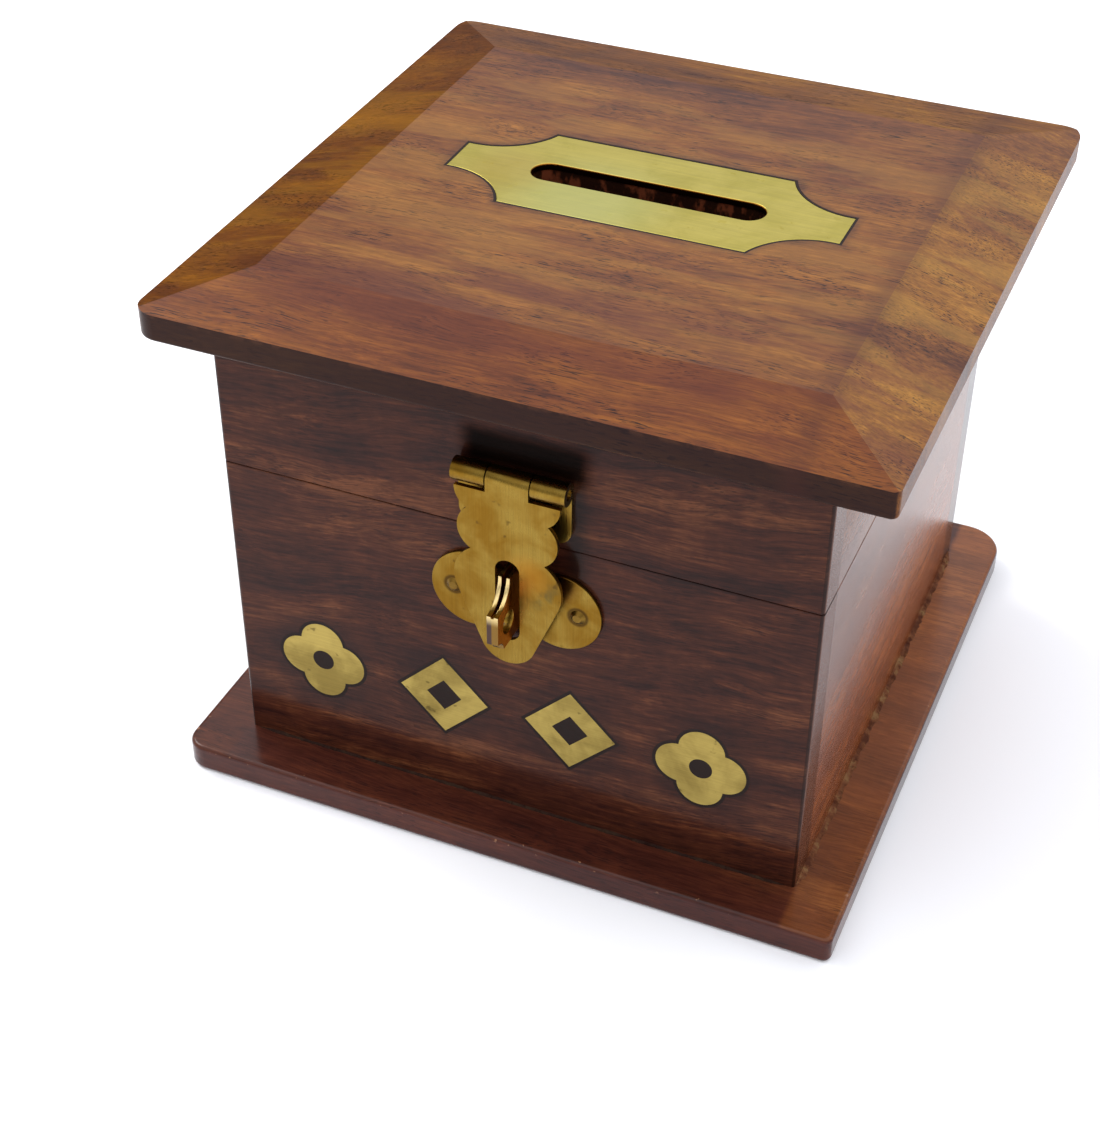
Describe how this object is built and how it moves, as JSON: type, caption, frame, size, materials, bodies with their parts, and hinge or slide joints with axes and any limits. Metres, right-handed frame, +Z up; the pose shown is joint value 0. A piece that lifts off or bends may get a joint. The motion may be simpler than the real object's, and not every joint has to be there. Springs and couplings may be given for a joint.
{
  "type": "donation box",
  "caption": "Square hardwood collection box with a wide base board, a deep hinged lid with an inlaid brass coin slot, a brass hasp over a staple, and brass ornaments inlaid across the front.",
  "frame": {"origin": "centre of the base board at its underside", "axes": "+Z up, -Y towards the front with the hasp, +X to the right seen from the front"},
  "size_m": [0.1408, 0.1411, 0.1125],
  "materials": {
    "base_wood": "varnished",
    "carcass_wood": "waxed",
    "lid_wood": "waxed",
    "plate_brass": "filed flush and lightly tarnished",
    "inlay_brass": "filed flush and lightly tarnished",
    "hasp_brass": "brushed, tarnished in spots",
    "nail_brass": "worn",
    "butt_brass": "plain",
    "screw_steel": "plain",
    "dark_filler": "matt dark wood filler"
  },
  "bodies": {
    "box": {"base_board": "base_wood", "front_wall": "carcass_wood", "back_wall": "carcass_wood", "left_wall": "carcass_wood", "right_wall": "carcass_wood", "base_screws": "screw_steel", "staple_plate": "hasp_brass", "staple_nails": "nail_brass", "front_inlay_1": "inlay_brass", "front_inlay_1_filler": "dark_filler", "front_inlay_2": "inlay_brass", "front_inlay_2_filler": "dark_filler", "front_inlay_3": "inlay_brass", "front_inlay_3_filler": "dark_filler", "front_inlay_4": "inlay_brass", "front_inlay_4_filler": "dark_filler", "hinge_lower_leaf_left": "butt_brass", "hinge_pin_left": "butt_brass", "hinge_lower_screws_left": "screw_steel", "hinge_lower_leaf_right": "butt_brass", "hinge_pin_right": "butt_brass", "hinge_lower_screws_right": "screw_steel"},
    "lid": {"lid_board": "lid_wood", "lid_front_rim": "carcass_wood", "lid_back_rim": "carcass_wood", "lid_left_rim": "carcass_wood", "lid_right_rim": "carcass_wood", "slot_plate": "plate_brass", "slot_plate_filler": "dark_filler", "hinge_upper_leaf_left": "butt_brass", "hinge_upper_leaf_right": "butt_brass", "hinge_upper_screws_left": "screw_steel", "hinge_upper_screws_right": "screw_steel", "hasp_leaf": "hasp_brass", "hasp_leaf_nails": "nail_brass", "hasp_pin": "hasp_brass"},
    "hasp": {"hasp_strap": "hasp_brass"}
  },
  "joints": [
    {"name": "lid_hinge", "type": "hinge", "parent": "box", "child": "lid", "pos_m": [0, 0.0612, 0.0726], "axis": [-1, 0, 0], "range_deg": [0, 160]},
    {"name": "hasp_hinge", "type": "hinge", "parent": "lid", "child": "hasp", "pos_m": [0.0015, -0.06125, 0.0864], "axis": [-1, 0, 0], "range_deg": [0, 140]}
  ]
}
